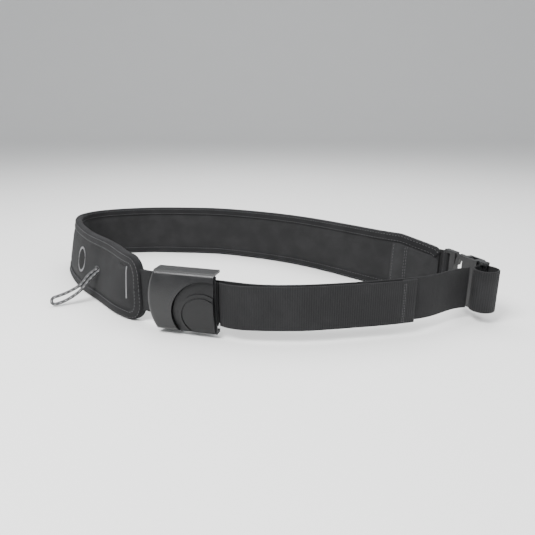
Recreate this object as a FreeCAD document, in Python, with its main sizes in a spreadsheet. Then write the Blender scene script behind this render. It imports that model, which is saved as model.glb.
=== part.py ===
import FreeCAD, Part
import math
import os
from FreeCAD import Placement, Rotation, Vector

# Padded waist belt that closes with a hook buckle at the front left and a side-release buckle
# at the front right. +Z is up, -Y is the front, and the belt stands on its lower edge at Z = 0.
# Two pieces of hardware have frames of their own: the hook buckle (X along the strap, Y into the
# belt, origin at mid height of its front) and the side-release buckle (X from the pad towards
# the strap, Y away from the waist, origin at mid height of the male half's end).

SIZES = {
    # the loop in plan, and the pad
    "loop_width": 428.0,
    "loop_depth": 278.0,
    "pad_height": 60.0,
    "pad_flare": 13.0,
    "foam_thickness": 4.2,
    "outer_thickness": 0.8,
    "lining_thickness": 0.6,
    "binding_width": 9.0,
    "binding_thickness": 0.7,
    "binding_gap": 0.05,
    "tip_radius": 15.0,
    "tip_chamfer": 4.5,
    "taper_length": 42.0,
    "taper_drop": 9.5,
    "panel_length": 50.0,
    "panel_thickness": 0.8,
    "tip_stretch": 62.0,
    # webbing
    "webbing_width": 38.0,
    "webbing_thickness": 1.6,
    "webbing_clearance": 0.6,
    "stub_inset": 32.0,
    "sewn_gap": 0.1,
    "hem_length": 12.0,
    "tack_height": 0.6,
    # cord and sewn details
    "cord_diameter": 3.0,
    "eyelet_length": 27.0,
    "eyelet_width": 25.0,
    "eyelet_band": 2.6,
    "grommet_length": 12.0,
    "grommet_width": 6.6,
    "sewn_height": 0.7,
    # hook buckle
    "hook_angle": -15.6,
    "hook_width": 25.0,
    "hook_left": 29.5,
    "hook_bulge": 5.0,
    "hook_crown": 4.0,
    "hook_wall": 2.0,
    "hook_depth": 15.0,
    "cover_round": 4.0,
    "cover_gap": 0.3,
    "arch_radius": 30.0,
    "arch_across": 17.0,
    "arch_below": 10.0,
    "badge_radius": 20.5,
    "badge_height": 1.0,
    "badge_sunk": 2.4,
    "plate_thickness": 1.6,
    "bar_radius": 1.5,
    "bar_gap": 0.3,
    "lock_travel": 3.0,
    "screw_radius": 1.0,
    "screw_head_radius": 1.9,
    # keeper ring that the hook catches
    "ring_bar": 3.0,
    "ring_length": 21.5,
    "ring_left": 25.5,
    "ring_depth": 13.5,
    "ring_clearance": 1.5,
    "catch_at": 19.0,
    "catch_thickness": 2.5,
    "catch_lip": 2.5,
    "lip_thickness": 2.5,
    "lip_clearance": 2.0,
    # side-release buckle
    "buckle_angle": -68.2,
    "buckle_thickness": 10.0,
    "buckle_wall": 1.6,
    "male_length": 13.0,
    "male_thickness": 5.0,
    "mouth_at": 25.0,
    "shell_length": 17.5,
    "arm_length": 7.4,
    "arm_thickness": 3.0,
    "loop_bar_radius": 1.6,
    "prong_width": 3.6,
    "prong_thickness": 4.0,
    "prong_gap": 0.5,
    "loop_radius": 11.0,
    "loop_along": 54.2,
    "loop_inward": 4.2,
    "crease_along": 45.2,
    "crease_inward": 14.8,
}

# The pad's upper edge in plan, from the front left tip round the back to the right tip, as shares
# of the loop's width and depth, each with the share of the flare by which the lower edge stands out.
PAD_PLAN = [
    (-0.2278, -0.3309, 0.00),
    (-0.2523, -0.2986, 0.35),
    (-0.2921, -0.2140, 0.85),
    (-0.3388, -0.1133, 1.00),
    (-0.3832, -0.0342, 1.00),
    (-0.4252, 0.0558, 1.00),
    (-0.4650, 0.1619, 1.00),
    (-0.4930, 0.2698, 1.00),
    (-0.4977, 0.3381, 1.00),
    (-0.4766, 0.4029, 0.90),
    (-0.4346, 0.4478, 0.70),
    (-0.3832, 0.4748, 0.45),
    (-0.3154, 0.4928, 0.20),
    (-0.2266, 0.4910, 0.00),
    (-0.1299, 0.4730, 0.00),
    (-0.0318, 0.4191, 0.00),
    (0.0614, 0.3453, 0.05),
    (0.1680, 0.2248, 0.10),
    (0.2610, 0.0899, 0.10),
    (0.3458, -0.0234, 0.10),
    (0.4019, -0.0719, 0.05),
    (0.4322, -0.1043, 0.00),
]
# Where the two buckles stand in plan, and the strap's outer face between them, as the same shares.
HOOK_PLAN = (-0.1285, -0.4450)
BUCKLE_PLAN = (0.4336, -0.1385)
STRAP_PLAN = [
    (-0.0070, -0.4670),
    (0.0491, -0.4770),
    (0.1379, -0.4658),
    (0.2150, -0.4439),
    (0.2850, -0.4194),
    (0.3348, -0.3968),
    (0.3738, -0.3626),
    (0.4065, -0.3284),
]
TAIL_PLAN = [
    (-0.0386, -0.4820),
    (0.0047, -0.4935),
    (0.0491, -0.4960),
    (0.0930, -0.4950),
    (0.1379, -0.4860),
    (0.1840, -0.4730),
    (0.2500, -0.4540),
    (0.3105, -0.4291),
]
# Where the sewn details sit, as shares of the pad's length from its left tip.
TACK_PLACE = 0.025
TACK_HEIGHT = 34.5
GROMMET_PLACE = 0.122
EYELET_PLACE = 0.186
# Places inside the hook buckle, along the strap: the webbing's fold, the fixed bar and the screws.
FOLD_AT = 1.5
FIXED_BAR_AT = 12.0
SCREWS_ACROSS = -18.5
SCREW_FROM_RIM = 6.6
SCREW_TIP = 0.8
# The cord's route, from one stitched end at the pad to the other, around its free bight.
CORD_ROUTE = [
    (-157.8, -30.2, 30.4),
    (-165.6, -37.0, 26.4),
    (-170.6, -42.8, 17.8),
    (-181.4, -48.6, 12.4),
    (-190.6, -53.4, 9.6),
    (-196.2, -56.0, 8.6),
    (-196.8, -56.6, 2.3),
    (-191.0, -54.8, 2.2),
    (-180.0, -50.6, 6.4),
    (-168.8, -46.4, 14.6),
    (-162.8, -40.0, 23.6),
    (-154.6, -34.0, 29.8),
]

doc = FreeCAD.newDocument("padded_waist_belt")
sheet = doc.addObject("Spreadsheet::Sheet", "Sizes")
for row, (alias, value) in enumerate(SIZES.items(), start=1):
    sheet.set(f"A{row}", alias)
    sheet.set(f"B{row}", str(value))
    sheet.setAlias(f"B{row}", alias)
doc.recompute()

PIECES = []


def size(alias):
    """The value of one named size."""
    return float(sheet.get(alias))


def mid_height():
    return size("pad_height") / 2


def plan_point(share_x, share_y, z=0.0):
    return Vector(share_x * size("loop_width"), share_y * size("loop_depth"), z)


HOOK = Placement(plan_point(*HOOK_PLAN, mid_height()), Rotation(Vector(0, 0, 1), size("hook_angle")))
BUCKLE = Placement(
    plan_point(*BUCKLE_PLAN, mid_height()), Rotation(Vector(0, 0, 1), size("buckle_angle"))
)


def piece(obj, label, placement=None):
    """Registers a finished sub-part under its own label, and places it."""
    if placement is not None:
        obj.Placement = placement
    obj.Label = label
    PIECES.append(obj)
    return obj


def feature(label, shape, placement=None):
    """A sub-part whose shape no single feature makes, set from Part's own functions."""
    obj = doc.addObject("Part::Feature", label)
    obj.Shape = shape
    return piece(obj, label, placement)


# --- helpers on expressions -----------------------------------------------------------------


def bind(obj, **expressions):
    """Binds properties to expressions on the sheet; two underscores stand for a dot."""
    for name, expression in expressions.items():
        obj.setExpression(name.replace("__", "."), expression)
    return obj


def box(name, along, across, up, low):
    """A box with its three sides and its low corner given as expressions."""
    obj = doc.addObject("Part::Box", name)
    bind(obj, Length=along, Width=across, Height=up)
    for axis, expression in zip("xyz", low):
        obj.setExpression(f"Placement.Base.{axis}", expression)
    return obj


def rod(name, radius, length, centre):
    """A cylinder along Z that starts at a centre given as expressions."""
    obj = doc.addObject("Part::Cylinder", name)
    bind(obj, Radius=radius, Height=length)
    for axis, expression in zip("xyz", centre):
        obj.setExpression(f"Placement.Base.{axis}", expression)
    return obj


def fused(name, shapes):
    obj = doc.addObject("Part::MultiFuse", name)
    obj.Shapes = shapes
    return obj


def cut(name, base, tool):
    obj = doc.addObject("Part::Cut", name)
    obj.Base = base
    obj.Tool = tool
    return obj


def add_sketch(body, name, role, edges, offset=0.0):
    """A closed sketch of lines and arcs on one of a body's origin planes."""
    sketch = body.newObject("Sketcher::SketchObject", name)
    plane = next(o for o in body.Origin.OriginFeatures if o.Role == role)
    sketch.AttachmentSupport = [(plane, "")]
    sketch.MapMode = "FlatFace"
    sketch.AttachmentOffset = Placement(Vector(0, 0, offset), Rotation())
    for edge in edges:
        sketch.addGeometry(edge, False)
    return sketch


def line(a, b):
    return Part.LineSegment(Vector(*a, 0), Vector(*b, 0))


def arc(a, middle, b):
    return Part.Arc(Vector(*a, 0), Vector(*middle, 0), Vector(*b, 0))


def polygon(points):
    """Line segments round a closed outline."""
    return [line(a, b) for a, b in zip(points, points[1:] + points[:1])]


# --- soft bands: webbing and pad --------------------------------------------------------------


def smooth(points, params=None):
    curve = Part.BSplineCurve()
    if params is None:
        curve.interpolate(points)
    else:
        curve.interpolate(Points=points, Parameters=params)
    return curve


def side_of(curve, param):
    """The unit normal to the left of a plan curve."""
    tangent = curve.tangent(param)[0]
    return Vector(-tangent.y, tangent.x, 0).normalize()


def band(curve, inner, outer, width, first=0.0, last=None):
    """An upright band between two distances along a plan curve, `inner` to `outer` to its left."""
    last = curve.length() if last is None else last
    count = max(4, math.ceil((last - first) / 6.0))
    places = [first + (last - first) * i / count for i in range(count + 1)]
    params = [curve.parameterAtDistance(place, curve.FirstParameter) for place in places]
    lift = Vector(0, 0, mid_height() - width / 2)
    near, far = (
        smooth([curve.value(p) + side_of(curve, p) * offset + lift for p in params], places)
        for offset in (inner, outer)
    )
    caps = [
        Part.LineSegment(near.StartPoint, far.StartPoint),
        Part.LineSegment(near.EndPoint, far.EndPoint),
    ]
    outline = Part.Wire([near.toShape(), caps[1].toShape(), far.toShape(), caps[0].toShape()])
    return Part.Face(outline).extrude(Vector(0, 0, width))


def plan_curve(points):
    return smooth([Vector(p.x, p.y, 0) for p in points])


PAD_PARAMS = []
for number, share in enumerate(PAD_PLAN):
    if number == 0:
        PAD_PARAMS.append(0.0)
    else:
        step = (plan_point(*share[:2]) - plan_point(*PAD_PLAN[number - 1][:2])).Length
        PAD_PARAMS.append(PAD_PARAMS[-1] + step)
PAD_EDGE = smooth([plan_point(x, y) for x, y, _ in PAD_PLAN], PAD_PARAMS)


def pad_curve(z, offset):
    """The pad's line at height z, `offset` out of its middle surface."""
    lower = 1 - z / size("pad_height")
    points = []
    for (x, y, share), param in zip(PAD_PLAN, PAD_PARAMS):
        out = side_of(PAD_EDGE, param)
        stand = offset + share * size("pad_flare") * lower
        points.append(plan_point(x, y, z) + out * stand)
    return smooth(points, PAD_PARAMS)


def pad_outline(z, inner, outer, first, last):
    near, far = pad_curve(z, inner), pad_curve(z, outer)
    for curve in (near, far):
        curve.segment(first, last)
    caps = [
        Part.LineSegment(near.StartPoint, far.StartPoint),
        Part.LineSegment(near.EndPoint, far.EndPoint),
    ]
    return Part.Wire([near.toShape(), caps[1].toShape(), far.toShape(), caps[0].toShape()])


def pad_stretch(low, high, inner, outer, first, last):
    """One layer of the pad between two heights and two places along it."""
    outlines = [pad_outline(z, inner, outer, first, last) for z in (low, high)]
    return Part.makeLoft(outlines, True, True)


def stretches():
    """Where the pad's two tips end and its plain middle begins."""
    tip = size("tip_stretch")
    return 0.0, tip, PAD_PARAMS[-1] - tip, PAD_PARAMS[-1]


def tip_layer(end, low, high, inner, outer):
    """One layer of the pad at a tip, not yet cut to shape."""
    places = stretches()
    first, last = places[:2] if end == 0 else places[2:]
    return pad_stretch(low, high, inner, outer, first, last)


def pad_layer(low, high, inner, outer, hollow=None):
    """One layer of the pad with its tips cut to shape, less a `hollow` one if given."""
    places = stretches()
    pieces = []
    for number in range(3):
        stretch = pad_stretch(low, high, inner, outer, *places[number : number + 2])
        if hollow:
            stretch = stretch.cut(pad_stretch(*hollow, *places[number : number + 2]))
        if number != 1:
            stretch = stretch.cut(tip_cutters(number))
        pieces.append(stretch)
    return pieces[0].fuse(pieces[1:])


def pad_frame(param, z, offset):
    """A frame on the pad: X along it towards the left tip, Y out of it, Z up its face."""
    here = pad_curve(z, offset).value(param)
    above = pad_curve(z + 1, offset).value(param)
    up = (above - here).normalize()
    back = pad_curve(z, offset).tangent(param)[0]
    out = (side_of(PAD_EDGE, param) - up * side_of(PAD_EDGE, param).dot(up)).normalize()
    return Placement(here, Rotation(back * -1, out, up, "ZYX"))


def tip_frame(end, near):
    """A frame at one of the pad's tips, on the ground: X outwards along the pad, Z up."""
    tip = plan_point(*PAD_PLAN[end][:2])
    outwards = tip - plan_point(*PAD_PLAN[near][:2])
    angle = math.degrees(math.atan2(outwards.y, outwards.x))
    return Placement(tip, Rotation(Vector(0, 0, 1), angle))


def upright_prism(points, reach, placement):
    """A prism across the pad's thickness from an outline in a tip frame's XZ plane."""
    corners = [Vector(x, -reach, z) for x, z in points]
    face = Part.Face(Part.makePolygon(corners + corners[:1]))
    prism = face.extrude(Vector(0, 2 * reach, 0))
    prism.Placement = placement
    return prism


def rounding_cutters():
    """What rounds the left tip's two corners."""
    reach, spare, radius = 40.0, 8.0, size("tip_radius")
    cutters = []
    for corner, inward in ((0.0, 1), (size("pad_height"), -1)):
        centre = corner + inward * radius
        outline = [(-radius, centre), (spare, centre), (spare, corner - inward * spare)]
        outline.append((-radius, corner - inward * spare))
        block = upright_prism(outline, reach, Placement())
        keep = Part.makeCylinder(radius, 2 * reach, Vector(-radius, -reach, centre), Vector(0, 1, 0))
        wedge = block.cut(keep)
        wedge.Placement = tip_frame(0, 1)
        cutters.append(wedge)
    return cutters


def taper_cutters():
    """What tapers the right tip from both edges, with a small chamfer at its end."""
    spare, length, drop, chamfer = 8.0, size("taper_length"), size("taper_drop"), size("tip_chamfer")
    cutters = []
    for corner, inward in ((0.0, 1), (size("pad_height"), -1)):
        outline = [
            (-length, corner),
            (-chamfer, corner + inward * drop),
            (0.0, corner + inward * (drop + chamfer)),
            (spare, corner + inward * (drop + chamfer)),
            (spare, corner - inward * spare),
            (-length, corner - inward * spare),
        ]
        cutters.append(upright_prism(outline, 40.0, tip_frame(-1, -2)))
    return cutters


def tip_cutters(number):
    """What shapes the left tip (number 0) or the right one (number 1)."""
    return rounding_cutters() if number == 0 else taper_cutters()


TIPS = ((0, 1), (-1, -2))
FACE = size("foam_thickness") / 2
OUTER_FACE = FACE + size("outer_thickness")
INNER_FACE = -FACE - size("lining_thickness")


def inside_pad(end, near, spare):
    """The doubled webbing between the pad's layers at a tip, grown all round by `spare`."""
    half, thick = size("webbing_width") / 2 + spare, size("webbing_thickness") + spare
    layer = tip_layer(end, mid_height() - half, mid_height() + half, -thick, thick)
    depth = -size("stub_inset") - spare
    reach = [(depth, 0), (20, 0), (20, size("pad_height")), (depth, size("pad_height"))]
    return layer.common(upright_prism(reach, 40.0, tip_frame(end, near)))


def pad_layers():
    edge = size("binding_thickness") + size("binding_gap")
    low, high = edge, size("pad_height") - edge
    foam = pad_layer(low, high, -FACE, FACE)
    pockets = [inside_pad(end, near, size("sewn_gap")) for end, near in TIPS]
    feature("pad_foam", foam.cut(pockets))
    feature("pad_outer_fabric", pad_layer(low, high, FACE, OUTER_FACE))
    feature("pad_lining", pad_layer(low, high, INNER_FACE, -FACE))


def bindings():
    """Hem tapes folded over the pad's upper and lower edges."""
    height, width = size("pad_height"), size("binding_width")
    thick, gap = size("binding_thickness"), size("binding_gap")
    faces = INNER_FACE - gap, OUTER_FACE + gap
    for label, low, high, core_low, core_high in (
        ("binding_top", height - width, height, height - width, height - thick),
        ("binding_bottom", 0.0, width, thick, width),
    ):
        core = (core_low, core_high, *faces)
        feature(label, pad_layer(low, high, faces[0] - thick, faces[1] + thick, core))


def tip_panel():
    """The reinforcement sewn on the lining at the right tip."""
    thick, edge = size("panel_thickness"), size("binding_width") + 0.5
    inner = INNER_FACE - size("binding_gap") - thick
    height = size("pad_height")
    layer = tip_layer(-1, edge, height - edge, inner, inner + thick)
    left = -size("panel_length")
    end = upright_prism([(left, -1), (20, -1), (20, height), (left, height)], 40.0, tip_frame(-1, -2))
    feature("tip_panel", layer.common(end).cut(tip_cutters(1)))


def oval_ring(length, width, ring, height):
    """An upright oval ring of raised thread, lying against the XZ plane, out along Y."""
    def oval(long, wide):
        straight = (long - wide) / 2
        radius = wide / 2
        top_left, top_right = Vector(-radius, 0, straight), Vector(radius, 0, straight)
        low_left, low_right = Vector(-radius, 0, -straight), Vector(radius, 0, -straight)
        top = Part.Arc(top_right, Vector(0, 0, straight + radius), top_left)
        low = Part.Arc(low_left, Vector(0, 0, -straight - radius), low_right)
        left = Part.LineSegment(top_left, low_left)
        right = Part.LineSegment(low_right, top_right)
        outline = Part.Wire([c.toShape() for c in (top, left, low, right)])
        return Part.Face(outline).extrude(Vector(0, height, 0))

    return oval(length, width).cut(oval(length - 2 * ring, width - 2 * ring))


def pad_length_param(share):
    """A place along the pad's upper edge as a share of its length from the left tip."""
    return PAD_EDGE.parameterAtDistance(share * PAD_EDGE.length(), PAD_EDGE.FirstParameter)


def sewn_details():
    """The embroidered eyelet, the cord's stitched hole and the bar tack on the pad's front left."""
    sink, proud = 0.4, size("sewn_height")
    ring = oval_ring(size("eyelet_length"), size("eyelet_width"), size("eyelet_band"), proud + sink)
    place = pad_frame(pad_length_param(EYELET_PLACE), mid_height(), OUTER_FACE - sink)
    feature("stitched_eyelet", ring, place)
    hole = oval_ring(size("grommet_length"), size("grommet_width"), 1.4, proud + sink)
    place = pad_frame(pad_length_param(GROMMET_PLACE), 30.0, OUTER_FACE - sink)
    place = place.multiply(Placement(Vector(), Rotation(Vector(0, 1, 0), 90)))
    feature("cord_hole_stitching", hole, place)
    tack = Part.makeBox(1.6, proud + sink, 29.0, Vector(-0.8, 0, -14.5))
    place = pad_frame(pad_length_param(TACK_PLACE), TACK_HEIGHT, OUTER_FACE - sink)
    feature("bar_tack", tack, place)


def cord_path(points):
    """Straight runs joined by tangent arcs, as large as the runs allow; prints the radii."""
    edges, radii = [], []
    start = points[0]
    for before, corner, after in zip(points, points[1:], points[2:]):
        back, on = (before - corner), (after - corner)
        turn = math.pi - back.getAngle(on)
        reach = 0.45 * min(back.Length, on.Length)
        radii.append(reach / math.tan(turn / 2))
        enter = corner + back.normalize() * reach
        leave = corner + on.normalize() * reach
        towards = (back + on).normalize()
        half = radii[-1] / math.cos(turn / 2)
        middle = corner + towards * (half - radii[-1])
        edges.append(Part.LineSegment(start, enter).toShape())
        edges.append(Part.Arc(enter, middle, leave).toShape())
        start = leave
    edges.append(Part.LineSegment(start, points[-1]).toShape())
    print("cord radii", [round(r, 1) for r in radii])
    return Part.Wire(edges)


def cord_loop():
    """The short loop of round cord sewn to the pad's outside."""
    points = [Vector(*p) for p in CORD_ROUTE]
    path = cord_path(points)
    radius = size("cord_diameter") / 2
    section = Part.Wire(Part.makeCircle(radius, points[0], points[1] - points[0]))
    tube = path.makePipeShell([section], True, True)
    expected = math.pi * radius**2 * path.Length
    print("cord length", round(path.Length, 1), "volume ratio", round(tube.Volume / expected, 4))
    feature("cord_loop", tube)


def half_webbing():
    return size("webbing_width") / 2


def slot_half():
    """Half the height of every opening that webbing passes through."""
    return half_webbing() + size("webbing_clearance")


def fold(centre, placement, width):
    """Webbing wrapped all round an upright bar."""
    inner = size("bar_radius") + size("bar_gap")
    outer = inner + size("webbing_thickness")
    base = Vector(centre[0], centre[1], -width / 2)
    tube = Part.makeCylinder(outer, width, base).cut(Part.makeCylinder(inner, width, base))
    tube.Placement = placement
    return tube


def stub(label, end, near, goal, placement):
    """A doubled webbing stub, sewn between the pad's layers and folded round an upright bar."""
    thick, width = size("webbing_thickness"), size("webbing_width")
    tip = plan_point(*PAD_PLAN[end][:2])
    outwards = PAD_EDGE.tangent(PAD_PARAMS[end])[0]
    if end == 0:
        outwards = outwards * -1
    bar = placement.multVec(Vector(*goal, 0))
    bar.z = 0
    radius = size("bar_radius") + size("bar_gap")
    stop = bar + (tip - bar).normalize() * (radius + thick / 2)
    curve = Part.BSplineCurve()
    lead = tip - outwards
    inwards = (bar - stop).normalize()
    curve.interpolate(Points=[lead, tip, stop], InitialTangent=outwards, FinalTangent=inwards)
    bore = Part.makeCylinder(radius, width, Vector(*goal, -width / 2))
    bore.Placement = placement
    outside = band(curve, 0.05 - thick, thick - 0.05, width - 0.1).cut(bore)
    whole = inside_pad(end, near, 0.0).fuse([outside, fold(goal, placement, width)])
    feature(label, whole.removeSplitter())


HOOK_RING_BAR = (-size("ring_left") + size("ring_bar") / 2, size("ring_depth"))


def keeper_ring():
    """The metal ring in the left stub's fold, swept round a rectangle with rounded corners."""
    radius, corner = size("ring_bar") / 2, 2.0
    half = slot_half() + radius
    low_x = -size("ring_left") + radius
    high_x = low_x + size("ring_length") - 2 * radius
    y = size("ring_depth")

    def at(x, z):
        return Vector(x, y, z)

    turn = corner * (1 - math.sqrt(0.5))
    edges = [
        Part.LineSegment(at(low_x, 0), at(low_x, half - corner)),
        Part.Arc(at(low_x, half - corner), at(low_x + turn, half - turn), at(low_x + corner, half)),
        Part.LineSegment(at(low_x + corner, half), at(high_x - corner, half)),
        Part.Arc(at(high_x - corner, half), at(high_x - turn, half - turn), at(high_x, half - corner)),
        Part.LineSegment(at(high_x, half - corner), at(high_x, corner - half)),
        Part.Arc(at(high_x, corner - half), at(high_x - turn, turn - half), at(high_x - corner, -half)),
        Part.LineSegment(at(high_x - corner, -half), at(low_x + corner, -half)),
        Part.Arc(at(low_x + corner, -half), at(low_x + turn, turn - half), at(low_x, corner - half)),
        Part.LineSegment(at(low_x, corner - half), at(low_x, 0)),
    ]
    path = Part.Wire([e.toShape() for e in edges])
    section = Part.Wire(Part.makeCircle(radius, at(low_x, 0), Vector(0, 0, 1)))
    ring = path.makePipeShell([section], True, False)
    feature("keeper_ring", ring, HOOK)


def cover_half():
    """Half the hook buckle's height: the ring's, the gap round it, and the cover's wall."""
    ring_half = slot_half() + size("ring_bar")
    return ring_half + size("ring_clearance") + size("hook_wall")


def arch_edge(z):
    """Where the cover's arch cut-out stands at a height."""
    reach = size("arch_radius") ** 2 - (z + size("arch_below")) ** 2
    return size("arch_across") - math.sqrt(reach)


def hook_cover():
    """The moulded cover: a shallow tray, open behind and to the right, with an arch cut-out."""
    half, wall = cover_half(), size("hook_wall")
    left, right = -size("hook_left"), size("hook_width") - 1
    low = arch_edge(-half)
    across, below, radius = size("arch_across"), size("arch_below"), size("arch_radius")
    high = math.sqrt(radius**2 - (right - across) ** 2) - below
    edges = [
        arc((left, half), (left - size("hook_bulge"), 0), (left, -half)),
        line((left, -half), (low, -half)),
        arc((low, -half), (across - radius, -below), (right, high)),
        line((right, high), (right, half)),
        line((right, half), (left, half)),
    ]
    body = doc.addObject("PartDesign::Body", "hook_cover")
    pad = body.newObject("PartDesign::Pad", "cover_block")
    pad.Profile = add_sketch(body, "hook_cover_outline", "XZ_Plane", edges, offset=size("hook_crown"))
    pad.Reversed = True
    pad.setExpression("Length", "Sizes.hook_depth + Sizes.hook_crown")
    body.Tip = pad
    front = crowned_outline(0.0, half, -size("hook_crown") - 2)
    barrel = body.newObject("PartDesign::Pocket", "cover_crown")
    barrel.Profile = add_sketch(body, "cover_crown_outline", "YZ_Plane", front)
    barrel.Type = "ThroughAll"
    barrel.Midplane = True
    body.Tip = barrel
    doc.recompute()
    rims = []
    for number, edge in enumerate(barrel.Shape.Edges, start=1):
        box_of = edge.BoundBox
        outer = box_of.ZMax > half - 0.01 or box_of.XMax < low + 0.01
        if box_of.YMax < 0.01 and outer and box_of.XLength > 1:
            rims.append(f"Edge{number}")
    fillet = body.newObject("PartDesign::Fillet", "cover_front_round")
    fillet.Base = (barrel, rims)
    fillet.setExpression("Radius", "Sizes.cover_round")
    body.Tip = fillet
    inner = half - wall
    in_left, in_right = left + wall, right + 20
    hollow = [
        arc((in_left, inner), (left - size("hook_bulge") + wall, 0), (in_left, -inner)),
        line((in_left, -inner), (in_right, -inner)),
        line((in_right, -inner), (in_right, inner)),
        line((in_right, inner), (in_left, inner)),
    ]
    inside = add_sketch(body, "cover_inside", "XZ_Plane", hollow, offset=-size("hook_depth"))
    pocket = body.newObject("PartDesign::Pocket", "cover_hollow")
    pocket.Profile = inside
    pocket.setExpression("Length", "Sizes.hook_depth - Sizes.hook_wall")
    pocket.Reversed = True
    body.Tip = pocket
    doc.recompute()
    behind = [arc((wall, inner), (wall - size("hook_crown"), 0), (wall, -inner))]
    behind += [line((wall, -inner), (wall + 1, -inner)), line((wall + 1, -inner), (wall + 1, inner))]
    behind.append(line((wall + 1, inner), (wall, inner)))
    hollow_front = body.newObject("PartDesign::Pocket", "cover_crown_hollow")
    beyond_screws = SCREWS_ACROSS + 3.5
    hollow_front.Profile = add_sketch(body, "cover_crown_inside", "YZ_Plane", behind, offset=beyond_screws)
    hollow_front.Length = 60
    hollow_front.Reversed = True
    body.Tip = hollow_front
    doc.recompute()
    ring_way = slot_half() + size("ring_bar") + 0.3
    slot_sketch = add_sketch(
        body,
        "webbing_slot",
        "YZ_Plane",
        rectangle(9.0, 30.0, -ring_way, ring_way),
        offset=left + 1,
    )
    slot = body.newObject("PartDesign::Pocket", "webbing_way")
    slot.Profile = slot_sketch
    slot.Length = 30
    body.Tip = slot
    doc.recompute()
    holes = add_sketch(body, "cover_screw_holes", "XZ_Plane", screw_circles(0.02), offset=-wall)
    blind = body.newObject("PartDesign::Pocket", "cover_blind_holes")
    blind.Profile = holes
    blind.Length = wall - SCREW_TIP
    blind.Reversed = True
    body.Tip = blind
    doc.recompute()
    piece(body, "hook_cover", HOOK)


def crowned_outline(rim, half, front):
    """What lies in front of the cover's crowned face, seen along the strap."""
    return [
        arc((rim, half), (rim - size("hook_crown"), 0), (rim, -half)),
        line((rim, -half), (rim, -half - 1)),
        line((rim, -half - 1), (front, -half - 1)),
        line((front, -half - 1), (front, half + 1)),
        line((front, half + 1), (rim, half + 1)),
        line((rim, half + 1), (rim, half)),
    ]


def crown_barrel(sunk):
    """A long barrel along the strap whose front lies behind the cover's crowned face by `sunk`."""
    half, crown = cover_half(), size("hook_crown")
    radius = (half**2 + crown**2) / (2 * crown)
    start = Vector(-60, radius - crown, 0)
    return Part.makeCylinder(radius - sunk, 120, start, Vector(1, 0, 0))


def screw_circles(spare):
    """The screws' outlines in the hook buckle's face, each wider by `spare`."""
    radius = size("screw_radius") + spare
    return [Part.Circle(Vector(SCREWS_ACROSS, z, 0), Vector(0, 0, 1), radius) for z in screw_heights()]


def screw_heights():
    """The two cover screws stand a set way in from the hook buckle's upper and lower rims."""
    rise = cover_half() - SCREW_FROM_RIM
    return -rise, rise


def layer_gap():
    """From the middle of the webbing's fold in the hook buckle to the middle of either layer."""
    return size("bar_radius") + size("bar_gap") + size("webbing_thickness") / 2


def plate_back():
    return size("hook_wall") + size("plate_thickness")


def tail_layer():
    """Depth of the outer layer's middle, just behind the plate."""
    return plate_back() + 0.1 + size("webbing_thickness") / 2


def fold_depth():
    return tail_layer() + layer_gap()


def main_layer():
    return fold_depth() + layer_gap()


def plate_pad(body, name, edges, start, length):
    """A pad of the hook plate from the depth `start`, `length` long, in towards the waist."""
    sketch = add_sketch(body, name + "_outline", "XZ_Plane", edges, offset=-start)
    pad = body.newObject("PartDesign::Pad", name)
    pad.Profile = sketch
    pad.Reversed = True
    pad.Length = length
    body.Tip = pad
    return sketch


def rectangle(left, right, low, high):
    return polygon([(left, low), (right, low), (right, high), (left, high)])


def fixed_bar_depth():
    return main_layer() + size("webbing_thickness") / 2 + 0.1 + size("bar_radius")


def hook_plate():
    """The pressed plate behind the cover, with two side flanges for the bars and the catch."""
    inside = cover_half() - size("hook_wall") - size("cover_gap")
    foot, right = -cover_half(), size("hook_width")
    low = arch_edge(foot) + size("cover_gap")
    back, bite = plate_back(), 0.5
    outline = [(-22, inside), (right, inside), (right, foot), (low, foot), (low, -inside), (-22, -inside)]
    body = doc.addObject("PartDesign::Body", "hook_plate")
    plate_pad(body, "plate_sheet", polygon(outline), size("hook_wall"), size("plate_thickness"))
    left = FOLD_AT - size("bar_radius") - 2.5
    flanges = rectangle(left, right - 5, slot_half(), inside)
    flanges += rectangle(left, right - 5, -inside, -slot_half())
    depth = fixed_bar_depth() + size("bar_radius") + 1.2
    plate_pad(body, "plate_flanges", flanges, back - bite, depth - back + bite)
    plate_pad(body, "plate_foot", rectangle(low, right, foot, foot + 2.6), back - bite, 6.0)
    reach = half_webbing() - 3
    left = -size("catch_at")
    wall_right = left + size("catch_thickness")
    lip_back = size("ring_depth") + size("ring_bar") / 2 + size("lip_clearance") + size("lip_thickness")
    wall = rectangle(left, wall_right, -reach, reach)
    plate_pad(body, "catch", wall, back - bite, lip_back - back + bite)
    lip = rectangle(left, wall_right + size("catch_lip"), -reach, reach)
    plate_pad(body, "catch_lip", lip, lip_back - size("lip_thickness"), size("lip_thickness"))
    doc.recompute()
    clear = size("bar_radius") + 0.05
    fold_y, start, stop = fold_depth(), FOLD_AT, FOLD_AT + size("lock_travel")
    # seen along the bars: the slot that the lock bar slides in, and the fixed bar's hole
    ways = [
        line((start, fold_y - clear), (stop, fold_y - clear)),
        arc((stop, fold_y - clear), (stop + clear, fold_y), (stop, fold_y + clear)),
        line((stop, fold_y + clear), (start, fold_y + clear)),
        arc((start, fold_y + clear), (start - clear, fold_y), (start, fold_y - clear)),
        Part.Circle(Vector(FIXED_BAR_AT, fixed_bar_depth(), 0), Vector(0, 0, 1), clear),
    ]
    for name, plane, edges in (
        ("plate_screw_holes", "XZ_Plane", screw_circles(0.1)),
        ("plate_bar_ways", "XY_Plane", ways),
    ):
        pocket = body.newObject("PartDesign::Pocket", name)
        pocket.Profile = add_sketch(body, name + "_outline", plane, edges)
        pocket.Type = "ThroughAll"
        pocket.Midplane = True
        body.Tip = pocket
    doc.recompute()
    piece(body, "hook_plate", HOOK)


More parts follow.
